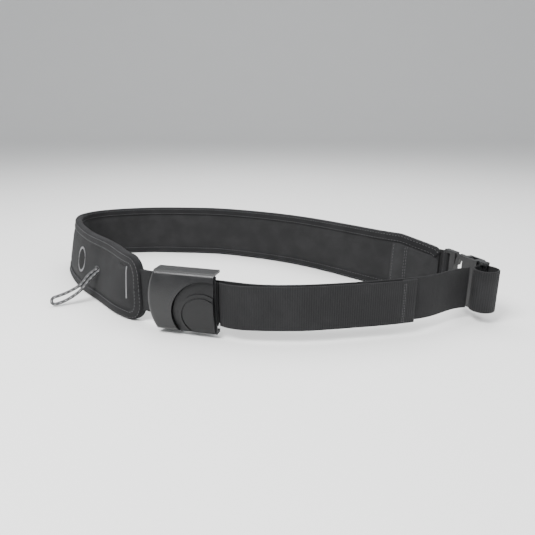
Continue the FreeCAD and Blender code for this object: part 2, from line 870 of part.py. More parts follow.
def front_disc(radius, across, below, sunk):
    """A round disc on the plate whose crowned front lies behind the cover's by `sunk`."""
    crown = size("hook_crown")
    length = crown + size("hook_wall")
    disc = Part.makeCylinder(radius, length, Vector(across, -crown, -below), Vector(0, 1, 0))
    return disc.common(crown_barrel(sunk))


def badge():
    """The raised disc and its sunk surround on the plate, with a plain groove round the disc."""
    across, below = size("arch_across"), size("arch_below")
    sunk, rise, radius = size("badge_sunk"), size("badge_height"), size("badge_radius")
    surround = front_disc(size("arch_radius") - 0.5, across, below, sunk)
    disc = front_disc(radius, across - 3.5, below + 1.0, sunk - rise)
    groove = front_disc(radius - 2.4, across - 3.5, below + 1.0, -1.0)
    groove = groove.cut(front_disc(radius - 3.8, across - 3.5, below + 1.0, -1.0))
    groove = groove.cut(crown_barrel(sunk - rise + 0.7))
    reach = cover_half() - 1.2
    window = Part.makeBox(60, 20, 2 * reach, Vector(size("hook_width") - 61.2, -10, -reach))
    feature("badge_disc", surround.fuse(disc).cut(groove).common(window).removeSplitter(), HOOK)


def bars():
    """The fixed bar behind the strap and the loose bar in its fold."""
    half = cover_half() - size("hook_wall") - size("cover_gap") - 0.2
    places = (("adjuster_bar", FIXED_BAR_AT, fixed_bar_depth()), ("lock_bar", FOLD_AT, fold_depth()))
    for label, across, depth in places:
        bar = doc.addObject("Part::Cylinder", label)
        bind(bar, Radius="Sizes.bar_radius")
        bar.Height = 2 * half
        piece(bar, label, HOOK.multiply(Placement(Vector(across, depth, -half), Rotation())))


def cover_screws():
    """Screws from behind that hold the plate in the cover."""
    radius, head = size("screw_radius"), size("screw_head_radius")
    back = plate_back()
    screws = []
    for z in screw_heights():
        tip = Vector(SCREWS_ACROSS, SCREW_TIP, z)
        shank = Part.makeCylinder(radius, back - SCREW_TIP, tip, Vector(0, 1, 0))
        cap = Part.makeCylinder(head, 1.1, Vector(SCREWS_ACROSS, back, z), Vector(0, 1, 0))
        screws.append(shank.fuse(cap).removeSplitter())
    feature("cover_screws", Part.makeCompound(screws), HOOK)


def strap_curve():
    """The strap's middle line from the hook buckle to its crease at the other buckle."""
    depth = main_layer()
    points = [HOOK.multVec(Vector(x, depth, 0)) for x in (FOLD_AT + 14, size("hook_width") + 2)]
    points += [plan_point(*share) for share in STRAP_PLAN]
    points.append(crease())
    return plan_curve(points)


def crease():
    """The upright axis about which the strap swings at the side-release buckle."""
    return BUCKLE.multVec(Vector(size("crease_along"), -size("crease_inward"), 0))


def front_strap():
    """The strap: its long run, the fold round the lock bar and the layer that leaves as the tail."""
    thick, width = size("webbing_thickness"), size("webbing_width")
    half = thick / 2
    run = band(strap_curve(), -half, half, width)
    straight = Part.makeBox(15.5, thick, width, Vector(FOLD_AT, main_layer() - half, -width / 2))
    outer = Part.makeBox(
        size("hook_width") + 0.7 - FOLD_AT, thick, width, Vector(FOLD_AT, tail_layer() - half, -width / 2)
    )
    inner_radius = size("bar_radius") + size("bar_gap")
    middle = Vector(FOLD_AT, fold_depth(), -width / 2)
    tube = Part.makeCylinder(inner_radius + thick, width, middle)
    tube = tube.cut(Part.makeCylinder(inner_radius, width, middle))
    left_half = Part.makeBox(10, 20, width, middle + Vector(-10, -10, 0))
    turn = tube.common(left_half)
    inside = turn.fuse([straight, outer])
    inside.Placement = HOOK
    feature("front_strap_webbing", run.fuse(inside).removeSplitter())


def tail_curve():
    """The tail's outer face from its hinge at the hook buckle to its hem."""
    face = tail_layer() - size("webbing_thickness") / 2
    points = [HOOK.multVec(Vector(size("hook_width") + 2, face, 0))]
    points += [plan_point(*share) for share in TAIL_PLAN]
    return plan_curve(points)


def strap_tail():
    """The free tail in front of the strap, with its end folded in and sewn down."""
    thick, width = size("webbing_thickness"), size("webbing_width")
    curve = tail_curve()
    end, hem = curve.length(), size("hem_length")
    flap_gap = 0.15
    layers = [
        band(curve, 0, thick, width),
        band(curve, thick + flap_gap, 2 * thick + flap_gap, width, end - hem, end),
        band(curve, 0.3, 2 * thick + flap_gap - 0.3, width, end - 0.8, end),
    ]
    feature("strap_tail", layers[0].fuse(layers[1:]).removeSplitter())
    place = end - hem + 2.0
    stitches = band(curve, -size("tack_height"), 0, width - 4, place, place + 1.2)
    feature("tail_hem_stitching", stitches)


def male_frame():
    """The male half: bar, side arms, crossbar and the tongue that guides it into the female half."""
    half = slot_half()
    arm = size("arm_thickness")
    thick = "Sizes.male_thickness"
    outer = half + arm
    base = rod("male_bar", "Sizes.bar_radius", str(2 * half + 1), ("0", "0", str(-half - 0.5)))
    arms = []
    for name, low in (("male_arm_top", half), ("male_arm_low", -outer)):
        corner = ("-1.5", "-Sizes.male_thickness / 2", str(low))
        arms.append(box(name, "Sizes.male_length + 1.5", thick, str(arm), corner))
    corner = ("6", "-Sizes.male_thickness / 2", str(-outer))
    cross = box("male_crossbar", "Sizes.male_length - 6", thick, str(2 * outer), corner)
    tongue = box(
        "male_tongue", "Sizes.mouth_at", "3", "7", ("Sizes.male_length - 1", "-1.5", "-3.5")
    )
    piece(fused("male_frame", [base, *arms, cross, tongue]), "male_frame", BUCKLE)


def prong_outline():
    """A release prong in the plane of the buckle: root, finger pad, neck, barb and nose."""
    start = size("male_length") + 0.4
    mouth = size("mouth_at")
    rim = female_half() - size("buckle_wall")
    pad_top = female_half() - 0.6
    neck = rim - 1.2
    barb = rim + 1.2
    low = neck - size("prong_width")
    return [
        (start, low - 5.0),
        (start, low),
        (start + 3.4, pad_top),
        (mouth - 1.6, pad_top),
        (mouth - 0.6, neck),
        (mouth + 4.9, neck),
        (mouth + 5.1, barb),
        (mouth + 9.5, rim - 0.8),
        (mouth + 12.5, neck - 3.0),
        (mouth + 10.5, low - 0.6),
        (mouth + 1.0, low),
        (start + 5.0, low + 1.4),
        (start + 3.0, low - 5.0),
    ]


def female_half():
    return slot_half() + size("arm_thickness")


def prong_pivot(side):
    """Where a release prong bends, in the side-release buckle's frame."""
    return size("male_length") + size("prong_gap"), 0.0, side * 11.0


def prongs():
    thick = size("prong_thickness")
    for label, side in (("release_prong_upper", 1), ("release_prong_lower", -1)):
        corners = [Vector(x, -thick / 2, side * z) for x, z in prong_outline()]
        face = Part.Face(Part.makePolygon(corners + corners[:1]))
        feature(label, face.extrude(Vector(0, thick, 0)), BUCKLE)


def female_housing():
    """The female half: a flat shell with windows for the barbs, and arms that hold a bar."""
    half, wall = female_half(), size("buckle_wall")
    deep = "-Sizes.buckle_thickness / 2"
    low = ("Sizes.mouth_at", deep, str(-half))
    shell = box("female_block", "Sizes.shell_length", "Sizes.buckle_thickness", str(2 * half), low)
    hollow = box(
        "female_hollow",
        "Sizes.shell_length - Sizes.buckle_wall + 1",
        "Sizes.buckle_thickness - 2 * Sizes.buckle_wall",
        str(2 * (half - wall)),
        ("Sizes.mouth_at - 1", "-Sizes.buckle_thickness / 2 + Sizes.buckle_wall", str(wall - half)),
    )
    corner = ("Sizes.mouth_at + 4.6", "-2.5", str(-half - 1))
    windows = box("female_windows", "8", "5", str(2 * half + 2), corner)
    tray = cut("female_tray", cut("female_shell", shell, hollow), windows)
    arm = size("arm_thickness")
    inner = slot_half()
    arms = []
    for name, low in (("female_arm_top", inner), ("female_arm_low", -half)):
        corner = ("Sizes.mouth_at + Sizes.shell_length - 1", "-3", str(low))
        arms.append(box(name, "Sizes.arm_length + 1", "6", str(arm), corner))
    bar_at = "Sizes.mouth_at + Sizes.shell_length + Sizes.arm_length - 1.9"
    bar = rod("female_bar", "Sizes.loop_bar_radius", str(2 * inner + 1), (bar_at, "0", str(-inner - 0.5)))
    piece(fused("female_housing", [tray, *arms, bar]), "female_housing", BUCKLE)


def strap_loop():
    """The closed loop of webbing through the female half's bar, at the strap's end."""
    width, thick = size("webbing_width"), size("webbing_thickness")
    centre = Vector(size("loop_along"), -size("loop_inward"), -width / 2)
    radius = size("loop_radius")
    ring = Part.makeCylinder(radius, width, centre).cut(Part.makeCylinder(radius - thick, width, centre))
    feature("strap_loop", ring, BUCKLE)


def build():
    pad_layers()
    bindings()
    tip_panel()
    sewn_details()
    cord_loop()
    stub("stub_strap_left", *TIPS[0], HOOK_RING_BAR, HOOK)
    stub("stub_strap_right", *TIPS[1], (0.0, 0.0), BUCKLE)
    keeper_ring()
    hook_cover()
    hook_plate()
    badge()
    bars()
    cover_screws()
    front_strap()
    strap_tail()
    male_frame()
    prongs()
    female_housing()
    strap_loop()
    doc.recompute()


def centre_on_ground():
    """Moves everything so that the origin is under the middle of the belt, its cord left out."""
    whole = FreeCAD.BoundBox()
    for obj in PIECES:
        if obj.Label != "cord_loop":
            whole.add(obj.Shape.BoundBox)
    shift = Vector(-whole.Center.x, -whole.Center.y, -whole.ZMin)
    for obj in PIECES:
        obj.Placement = Placement(shift, Rotation()).multiply(obj.Placement)
    doc.recompute()
    return shift


def export():
    """Checks every object, then writes one file for each sub-part."""
    for obj in doc.Objects:
        if "Invalid" in obj.State or "Error" in obj.State:
            raise RuntimeError(f"{obj.Label} did not recompute: {obj.State}")
    os.makedirs("parts", exist_ok=True)
    for obj in PIECES:
        shape = obj.Shape
        if shape.isNull() or not shape.isValid() or not shape.Solids:
            raise RuntimeError(f"{obj.Label} has no valid solid")
        shape.exportStep(f"parts/{obj.Label}.step")


def tell(shift):
    """Prints where the joints and mounts are, in metres."""
    hook_face = tail_layer() - size("webbing_thickness") / 2
    places = {
        "ring": HOOK.multVec(Vector(*HOOK_RING_BAR, 0)),
        "hook": HOOK.Base,
        "buckle": BUCKLE.Base,
        "prong_up": BUCKLE.multVec(Vector(*prong_pivot(1))),
        "prong_low": BUCKLE.multVec(Vector(*prong_pivot(-1))),
        "crease": crease(),
        "tail": HOOK.multVec(Vector(size("hook_width") + 2, hook_face + 0.8, 0)),
        "lock": HOOK.multVec(Vector(FOLD_AT, fold_depth(), 0)),
        "cord": Vector(*CORD_ROUTE[0]),
        "eyelet": pad_curve(mid_height(), OUTER_FACE).value(pad_length_param(EYELET_PLACE)),
    }
    print("shift", [round(c, 3) for c in shift])
    for name, place in places.items():
        at = place + shift
        print("place", name, round(at.x / 1000, 5), round(at.y / 1000, 5), round(at.z / 1000, 5))
    for name, frame in (("hook", HOOK), ("buckle", BUCKLE)):
        along = frame.Rotation.multVec(Vector(1, 0, 0))
        print("axis", name, round(along.x, 6), round(along.y, 6))
    print("cord", [[round(c, 3) for c in Vector(*p) + shift] for p in CORD_ROUTE])


build()
moved = centre_on_ground()
export()
tell(moved)
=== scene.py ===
import math
import random

import bpy
import numpy as np
from bpy.props import FloatProperty, FloatVectorProperty, IntProperty, PointerProperty
from bpy.types import Operator, Panel, PropertyGroup
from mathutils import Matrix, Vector


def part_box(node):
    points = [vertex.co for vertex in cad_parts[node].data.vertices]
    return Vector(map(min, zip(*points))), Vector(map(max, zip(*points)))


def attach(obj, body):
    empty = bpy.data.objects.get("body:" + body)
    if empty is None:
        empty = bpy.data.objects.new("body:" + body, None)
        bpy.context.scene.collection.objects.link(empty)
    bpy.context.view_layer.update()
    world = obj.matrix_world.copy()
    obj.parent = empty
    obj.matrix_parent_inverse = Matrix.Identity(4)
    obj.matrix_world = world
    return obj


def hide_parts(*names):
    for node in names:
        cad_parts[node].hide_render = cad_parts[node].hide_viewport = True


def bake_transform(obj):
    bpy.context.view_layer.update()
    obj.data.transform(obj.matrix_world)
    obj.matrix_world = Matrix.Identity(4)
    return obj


bl_info = {
    "name": "Padded Waist Belt",
    "version": (1, 0, 0),
    "blender": (4, 5, 0),
    "location": "View3D > Sidebar > Belt",
    "description": "Sewn pad, webbing, cord and buckles of a padded waist belt around its packed frame",
    "category": "Object",
}

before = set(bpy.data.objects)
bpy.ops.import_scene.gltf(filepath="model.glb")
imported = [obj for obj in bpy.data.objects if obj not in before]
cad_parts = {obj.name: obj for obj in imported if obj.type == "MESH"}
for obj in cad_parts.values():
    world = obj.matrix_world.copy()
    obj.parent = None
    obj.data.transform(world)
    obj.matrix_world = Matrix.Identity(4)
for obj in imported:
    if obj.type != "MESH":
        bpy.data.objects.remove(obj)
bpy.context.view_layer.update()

TAU = 2 * math.pi
MM = 0.001
PAD_LOW_SLICE, PAD_HIGH_SLICE = 12.1 * MM, 47.9 * MM
MIDDLE = 30.1 * MM
SECTION_MAP = "cloth"


# --- sizes and colours that a user would change -------------------------------------------------


def length(name, description, default):
    return FloatProperty(name=name, description=description, default=default, unit="LENGTH", precision=5)


def colour(name, description, default):
    return FloatVectorProperty(
        name=name, description=description, default=default, subtype="COLOR", size=3, min=0.0, max=1.0
    )


class BeltSizes(PropertyGroup):
    pad_crown: length("Pad crown", "How far the pad's faces swell between its bindings", 0.8 * MM)
    tape_width: length("Tape width", "Width of the hem tape on each face", 9.0 * MM)
    tape_thickness: length("Tape thickness", "Thickness of the hem tape", 0.7 * MM)
    tip_radius: length("Tip radius", "Rounding of the left tip's corners", 15.0 * MM)
    tip_chamfer: length("Tip chamfer", "Small chamfer at the right tip's end", 4.5 * MM)
    taper_length: length("Taper length", "How far from the right tip the pad narrows", 42.0 * MM)
    taper_drop: length("Taper drop", "How much each edge comes in at the right tip", 9.5 * MM)
    stitch_pitch: length("Stitch pitch", "Distance from one hem stitch to the next", 3.3 * MM)
    stitch_radius: length("Stitch radius", "Radius of a stitch's thread", 0.26 * MM)
    rib_pitch: length("Rib pitch", "Distance from one webbing rib to the next", 1.9 * MM)
    rib_height: length("Rib height", "Height of the webbing's ribs", 0.16 * MM)
    webbing_thickness: length("Webbing thickness", "Thickness of the webbing", 1.5 * MM)
    cord_radius: length("Cord radius", "Radius of the cord", 1.5 * MM)
    cord_sides: IntProperty(name="Cord sides", description="Faces round the cord", default=14, min=8, max=32)


class BeltColours(PropertyGroup):
    fabric: colour("Fabric", "The pad's outer fabric", (0.0125, 0.0125, 0.013))
    lining: colour("Lining", "The pad's inner fabric", (0.016, 0.016, 0.0165))
    tape: colour("Tape", "The hem tape", (0.010, 0.010, 0.0105))
    webbing: colour("Webbing", "Strap webbing", (0.011, 0.011, 0.0115))
    thread: colour("Thread", "Hem and tack thread", (0.05, 0.05, 0.052))
    pale_thread: colour("Pale thread", "Embroidery thread", (0.19, 0.19, 0.195))
    cord: colour("Cord", "Braided cord", (0.06, 0.06, 0.062))
    plastic: colour("Plastic", "Moulded buckle plastic", (0.006, 0.006, 0.0065))
    metal: colour("Metal", "Black coated metal", (0.02, 0.02, 0.021))
    floor: colour("Floor", "The studio floor", (0.80, 0.80, 0.79))


def sizes():
    return bpy.context.scene.belt_sizes


def colours():
    return bpy.context.scene.belt_colours


# --- materials: shader maths as expressions -----------------------------------------------------


class Number:
    """A number that varies over a surface: Python's operators on it add Math nodes."""

    def __init__(self, recipe, socket):
        self.recipe = recipe
        self.socket = socket

    def math(self, operation, *others):
        node = self.recipe.node("ShaderNodeMath", {"operation": operation}, dict(enumerate((self, *others))))
        return Number(self.recipe, node.outputs[0])

    def __add__(self, other):
        return self.math("ADD", other)

    def __sub__(self, other):
        return self.math("SUBTRACT", other)

    def __mul__(self, other):
        return self.math("MULTIPLY", other)

    def __truediv__(self, other):
        return self.math("DIVIDE", other)

    def __rsub__(self, other):
        return (self * -1.0) + other

    __radd__ = __add__
    __rmul__ = __mul__

    def sine(self):
        return self.math("SINE")

    def clipped(self):
        return self.math("MINIMUM", 1.0).math("MAXIMUM", 0.0)

    def smooth(self, low, high):
        """0 below `low`, 1 above `high`, and smooth between."""
        share = ((self - low) / (high - low)).clipped()
        return share * share * (3.0 - share * 2.0)


class Recipe:
    """One material, built node by node round a Principled shader."""

    def __init__(self, name, **uniform):
        self.material = bpy.data.materials.new(name)
        self.material.use_nodes = True
        self.tree = self.material.node_tree
        self.shader = self.tree.nodes["Principled BSDF"]
        for socket, value in uniform.items():
            self.shader.inputs[socket.replace("_", " ")].default_value = value

    def node(self, kind, settings=None, inputs=None):
        made = self.tree.nodes.new(kind)
        for name, value in (settings or {}).items():
            setattr(made, name, value)
        for socket, value in (inputs or {}).items():
            self.feed(made.inputs[socket], value)
        return made

    def feed(self, socket, value):
        if isinstance(value, Number):
            value = value.socket
        if isinstance(value, bpy.types.NodeSocket):
            self.tree.links.new(value, socket)
        else:
            socket.default_value = value

    def on_object(self, scale=1.0):
        """Object coordinates times a scale."""
        coordinates = self.node("ShaderNodeTexCoord").outputs["Object"]
        mapping = self.node("ShaderNodeMapping", None, {"Vector": coordinates, "Scale": (scale,) * 3})
        return mapping.outputs[0]

    def along_across(self):
        """Distances along and across a sewn piece, in metres, from its own map."""
        place = self.node("ShaderNodeUVMap", {"uv_map": SECTION_MAP}).outputs[0]
        parts = self.node("ShaderNodeSeparateXYZ", None, {0: place})
        return Number(self, parts.outputs[0]), Number(self, parts.outputs[1])

    def noise(self, scale, detail=3.0, roughness=0.55):
        made = self.node(
            "ShaderNodeTexNoise",
            {"noise_dimensions": "3D"},
            {"Vector": self.on_object(), "Scale": scale, "Detail": detail, "Roughness": roughness},
        )
        return Number(self, made.outputs[0])

    def cells(self, scale):
        made = self.node(
            "ShaderNodeTexVoronoi", {"feature": "F1"}, {"Vector": self.on_object(), "Scale": scale}
        )
        return Number(self, made.outputs["Distance"])

    def blend(self, dark, light, share):
        mix = self.node("ShaderNodeMix", {"data_type": "RGBA"}, {0: share, 6: (*dark, 1), 7: (*light, 1)})
        return mix.outputs[2]

    def finish(self, base, roughness, height=None, depth=1.0, strength=1.0):
        self.feed(self.shader.inputs["Base Color"], base)
        self.feed(self.shader.inputs["Roughness"], roughness)
        if height is not None:
            bump = self.node("ShaderNodeBump", None, {"Strength": strength, "Distance": depth, "Height": height})
            self.feed(self.shader.inputs["Normal"], bump.outputs[0])
        return self.material


def tint(rgb, factor):
    return tuple(min(1.0, c * factor) for c in rgb)


def woven(name, rgb, pitch, depth, dust_and_weave_light=1.9):
    """Plain-woven cloth: over and under at the thread's pitch, the threads' tops painted lighter and the hollows
    between them painted as shade, with a little random dust.
    """
    recipe = Recipe(name, Sheen_Weight=0.03, Sheen_Roughness=0.5, Specular_IOR_Level=0.12)
    along, across = recipe.along_across()
    warp = (along * (TAU / pitch)).sine()
    weft = (across * (TAU / pitch)).sine()
    weave = warp * weft * 0.5 + 0.5
    cloud = recipe.noise(55.0)
    fuzz = recipe.noise(2600.0, 2.0)
    # Painted shade and highlight: the weave term lightens the thread tops and darkens the hollows between them; fuzz
    # and cloud are random dust and tone.
    light = (weave * 0.35 + fuzz * 0.35 + cloud.smooth(0.35, 0.75) * 0.3).clipped()
    # The lighter tint serves both the random dust and the painted light on the thread tops.
    base = recipe.blend(tint(rgb, 0.62), tint(rgb, dust_and_weave_light), light)
    return recipe.finish(base, 0.72 + fuzz * 0.22, weave * 0.7 + fuzz * 0.5, depth)


def grosgrain(name, rgb, pitch):
    """Ribbed webbing: the ribs are in the mesh, and fine warp threads cross them."""
    recipe = Recipe(name, Sheen_Weight=0.03, Sheen_Roughness=0.5, Specular_IOR_Level=0.16)
    along, across = recipe.along_across()
    rib = (along * (TAU / pitch)).sine() * 0.5 + 0.5
    thread = (across * (TAU / 0.00062) + (along * (TAU / pitch)).sine() * 0.8).sine() * 0.5 + 0.5
    fuzz = recipe.noise(2200.0, 2.0)
    cloud = recipe.noise(42.0)
    # Painted shade and highlight: rib crests and warp threads are painted lighter and the hollows between them darker;
    # fuzz and cloud are random tone.
    light = (rib * 0.3 + thread * 0.2 + fuzz * 0.25 + cloud.smooth(0.4, 0.75) * 0.25).clipped()
    base = recipe.blend(tint(rgb, 0.55), tint(rgb, 2.1), light)
    return recipe.finish(base, 0.6 + fuzz * 0.25, thread * 0.6 + fuzz * 0.5, 0.00018)


def twisted(name, rgb):
    """Sewing thread: a fine twist with pale fibres."""
    recipe = Recipe(name, Sheen_Weight=0.1, Specular_IOR_Level=0.3)
    fuzz = recipe.noise(5200.0, 2.0)
    patch = recipe.noise(160.0)
    light = (fuzz * 0.6 + patch * 0.5).clipped()
    base = recipe.blend(tint(rgb, 0.45), tint(rgb, 1.8), light)
    return recipe.finish(base, 0.55 + fuzz * 0.25, fuzz, 0.00012)


def braided(name, rgb, radius):
    """Braided cord: two crossing families of strands and pale tracer flecks."""
    recipe = Recipe(name, Sheen_Weight=0.08, Specular_IOR_Level=0.3)
    along, around = recipe.along_across()
    turn = around / radius
    lay = along * (TAU / 0.0052)
    left = (lay + turn * 4.0).sine()
    right = (lay - turn * 4.0).sine()
    strands = (left * right) * 0.5 + 0.5
    fleck_lay = (along * (TAU / 0.0104) + turn * 2.0).sine() * ((along * (TAU / 0.0104) - turn * 2.0).sine())
    fleck = fleck_lay.smooth(0.45, 0.7)
    fuzz = recipe.noise(3200.0, 2.0)
    # Painted shade and highlight: the strands' crowns are painted lighter and the grooves between them darker; the
    # pale flecks below are the cord's own tracer colour.
    dark = recipe.blend(tint(rgb, 0.5), tint(rgb, 1.6), (strands * 0.6 + fuzz * 0.4).clipped())
    mix = recipe.node("ShaderNodeMix", {"data_type": "RGBA"}, {0: fleck, 6: dark, 7: (0.24, 0.24, 0.245, 1)})
    return recipe.finish(mix.outputs[2], 0.55 + fuzz * 0.3, strands + fuzz * 0.3, 0.0004)


def moulded(name, rgb, grain, rough, gloss=0.5, scratch=0.25):
    """Moulded plastic: spark-eroded grain, soft wear and a few dull rubs."""
    recipe = Recipe(name, Specular_IOR_Level=gloss)
    stipple = recipe.cells(grain)
    rub = recipe.noise(70.0, 4.0).smooth(0.42, 0.72)
    fine = recipe.noise(900.0, 3.0)
    light = (rub * scratch + fine * 0.35 + (1.0 - stipple.clipped()) * 0.15).clipped()
    base = recipe.blend(tint(rgb, 0.6), tint(rgb, 2.2), light)
    roughness = (rough + rub * 0.12 + fine * 0.1).clipped()
    return recipe.finish(base, roughness, stipple * 0.7 + fine * 0.4, 0.0001)


def coated(name, rgb, rough):
    """Black coated metal with faint brushing and rubbed high spots."""
    recipe = Recipe(name, Metallic=0.75, Specular_IOR_Level=0.5)
    fine = recipe.noise(1500.0, 3.0)
    worn = recipe.noise(130.0, 4.0).smooth(0.55, 0.78)
    base = recipe.blend(tint(rgb, 0.8), tint(rgb, 5.0), (worn * 0.6 + fine * 0.2).clipped())
    return recipe.finish(base, (rough + fine * 0.2 - worn * 0.08).clipped(), fine, 0.00008)


def floor_finish(rgb):
    recipe = Recipe("studio_floor")
    cloud = recipe.noise(6.0)
    base = recipe.blend(tint(rgb, 0.985), tint(rgb, 1.01), cloud)
    return recipe.finish(base, 0.8 + cloud * 0.05)


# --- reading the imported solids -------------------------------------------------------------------


def outlines(node, height):
    """The closed outlines of a CAD node in a level plane, each a list of plan points, longest first."""
    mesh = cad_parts[node].data
    mesh.calc_loop_triangles()
    places = [tuple(vertex.co) for vertex in mesh.vertices]
    links = {}
    for triangle in mesh.loop_triangles:
        corners = [places[index] for index in triangle.vertices]
        ends = []
        for first, second in ((0, 1), (1, 2), (2, 0)):
            low, high = sorted((corners[first], corners[second]))
            if (low[2] - height) * (high[2] - height) < 0:
                share = (height - low[2]) / (high[2] - low[2])
                ends.append(tuple(round(a + (b - a) * share, 8) for a, b in zip(low[:2], high[:2])))
        if len(ends) == 2 and ends[0] != ends[1]:
            links.setdefault(ends[0], []).append(ends[1])
            links.setdefault(ends[1], []).append(ends[0])
    loops = []
    while links:
        here = next(iter(links))
        loop = [here]
        while True:
            onward = [p for p in links.pop(here, []) if p in links]
            if not onward:
                break
            here = onward[0]
            loop.append(here)
        if len(loop) > 8:
            loops.append(anticlockwise(np.array(loop)))
    return sorted(loops, key=lambda loop: -path_length(loop))


def anticlockwise(loop):
    x, y = loop[:, 0], loop[:, 1]
    area = np.sum(x * np.roll(y, -1) - np.roll(x, -1) * y)
    return loop if area > 0 else loop[::-1]


def path_length(points):
    return float(np.sum(np.linalg.norm(np.diff(points, axis=0), axis=1)))


def corners_of(loop, least=45.0):
    """Where an outline turns sharply: numbers of its points."""
    back = loop - np.roll(loop, 1, axis=0)
    on = np.roll(loop, -1, axis=0) - loop
    turn = np.arctan2(back[:, 0] * on[:, 1] - back[:, 1] * on[:, 0], np.sum(back * on, axis=1))
    return [number for number, angle in enumerate(np.degrees(turn)) if angle > least]


def stretch(loop, start, stop):
    """The points of a closed outline from one number on to another."""
    if stop > start:
        return loop[start : stop + 1]
    return np.concatenate([loop[start:], loop[: stop + 1]])


def sides(node, height):
    """The stretches of a node's outline between its sharp corners, longest first."""
    loop = outlines(node, height)[0]
    corners = corners_of(loop)
    chains = [stretch(loop, a, b) for a, b in zip(corners, corners[1:] + corners[:1])]
    return sorted(chains, key=lambda chain: -path_length(chain))


def spaced(points, step, soften=0.0):
    """Points evenly spaced along a path, softened over a distance."""
    travel = np.concatenate([[0.0], np.cumsum(np.linalg.norm(np.diff(points, axis=0), axis=1))])
    count = max(3, int(round(travel[-1] / step)))
    places = np.linspace(0.0, travel[-1], count + 1)
    even = np.stack([np.interp(places, travel, points[:, axis]) for axis in range(points.shape[1])], axis=1)
    reach = int(round(soften / step))
    if reach < 1:
        return even
    window = np.hanning(2 * reach + 3)[1:-1]
    window /= window.sum()
    before = 2 * even[0] - even[reach:0:-1]
    after = 2 * even[-1] - even[-2 : -reach - 2 : -1]
    longer = np.concatenate([before, even, after])
    return np.stack([np.convolve(longer[:, axis], window, "valid") for axis in range(even.shape[1])], axis=1)


def left_normals(points, closed=False):
    """Unit normals to the left of a plan path."""
    if closed:
        tangent = np.roll(points, -1, axis=0) - np.roll(points, 1, axis=0)
    else:
        tangent = np.gradient(points, axis=0)
    tangent /= np.linalg.norm(tangent, axis=1)[:, None]
    return np.stack([-tangent[:, 1], tangent[:, 0]], axis=1)


# --- meshes -----------------------------------------------------------------------------------


def mesh_object(name, points, faces, material, uvs=None):
    """A mesh with its place in its vertices, smooth, normals outwards, and its own map if given."""
    mesh = bpy.data.meshes.new(name)
    mesh.from_pydata([tuple(p) for p in points], [], faces)
    if uvs is not None:
        layer = mesh.uv_layers.new(name=SECTION_MAP)
        layer.data.foreach_set("uv", np.asarray(uvs, dtype=np.float32).ravel())
    mesh.materials.append(material)
    made = bpy.data.objects.new(name, mesh)
    bpy.context.collection.objects.link(made)
    face_outwards(made)
    mesh.polygons.foreach_set("use_smooth", [True] * len(mesh.polygons))
    return made


def only(made):
    """Makes one object the only selected and the active one."""
    bpy.ops.object.select_all(action="DESELECT")
    made.select_set(True)
    bpy.context.view_layer.objects.active = made


def face_outwards(made):
    only(made)
    bpy.ops.object.mode_set(mode="EDIT")
    bpy.ops.mesh.select_all(action="SELECT")
    bpy.ops.mesh.normals_make_consistent(inside=False)
    bpy.ops.object.mode_set(mode="OBJECT")


def sweep(name, rings, material, closed=False):
    """A skin over cross-sections, capped unless closed, mapped by distances along and round."""
    rings = np.asarray(rings)
    count, around = rings.shape[:2]
    along = np.concatenate([[0.0], np.cumsum(np.linalg.norm(np.diff(rings.mean(axis=1), axis=0), axis=1))])
    first = np.concatenate([rings[0], rings[0][:1]])
    across = np.concatenate([[0.0], np.cumsum(np.linalg.norm(np.diff(first, axis=0), axis=1))])
    faces, uvs = [], []
    for i in range(count if closed else count - 1):
        j = (i + 1) % count
        ends = along[i], along[i + 1] if i + 1 < count else along[i] + along[1]
        for k in range(around):
            m = (k + 1) % around
            faces.append((i * around + k, i * around + m, j * around + m, j * around + k))
            uvs += [(ends[0], across[k]), (ends[0], across[k + 1]), (ends[1], across[k + 1]), (ends[1], across[k])]
    if not closed:
        for ring, place in ((0, along[0]), (count - 1, along[-1])):
            faces.append(tuple(ring * around + k for k in range(around)))
            uvs += [(place, across[k]) for k in range(around)]
    return mesh_object(name, rings.reshape(-1, 3), faces, material, uvs)


def ribbon(name, path, low, high, material, rib=1.0, closed=False, thickness=None):
    """Webbing whose outer face follows a plan path; its thickness lies to the path's left."""
    s = sizes()
    thick = thickness or s.webbing_thickness
    step = s.rib_pitch / 5
    points = spaced(path, step, 1.2 * MM)
    if closed:
        points = points[:-1]
    normals = left_normals(points, closed)
    edge = [0.0, 0.22 * MM, 0.6 * MM, 1.3 * MM, 1.9 * MM, 3.2 * MM]
    inset = [0.5 * thick, 0.14 * thick, 0.0, 0.0, 0.03 * MM, 0.0]
    middle = np.linspace(edge[-1], (high - low) - edge[-1], 7)[1:-1]
    heights = np.array(edge + list(middle) + [(high - low) - e for e in reversed(edge)])
    insets = np.array(inset + [0.0] * len(middle) + list(reversed(inset)))
    shown = ((heights > 1.0 * MM) & (heights < high - low - 1.0 * MM)).astype(float)
    count = len(points)
    phase = np.sin(np.arange(count) * (TAU / 5) + 0.3)
    wander = np.sin(np.arange(count) * 0.013) * 0.05 * MM
    rings = []
    for number in range(count):
        raised = -s.rib_height * rib * 0.5 * phase[number] * shown
        out = insets + raised
        outer = [(*(points[number] + normals[number] * d), low + h) for h, d in zip(heights, out)]
        inn = thick - insets - raised
        inner = [(*(points[number] + normals[number] * d), low + h) for h, d in zip(heights, inn)]
        ring = outer + inner[-2:0:-1]
        rings.append([(x, y, z + wander[number]) for x, y, z in ring])
    return sweep(name, rings, material, closed)


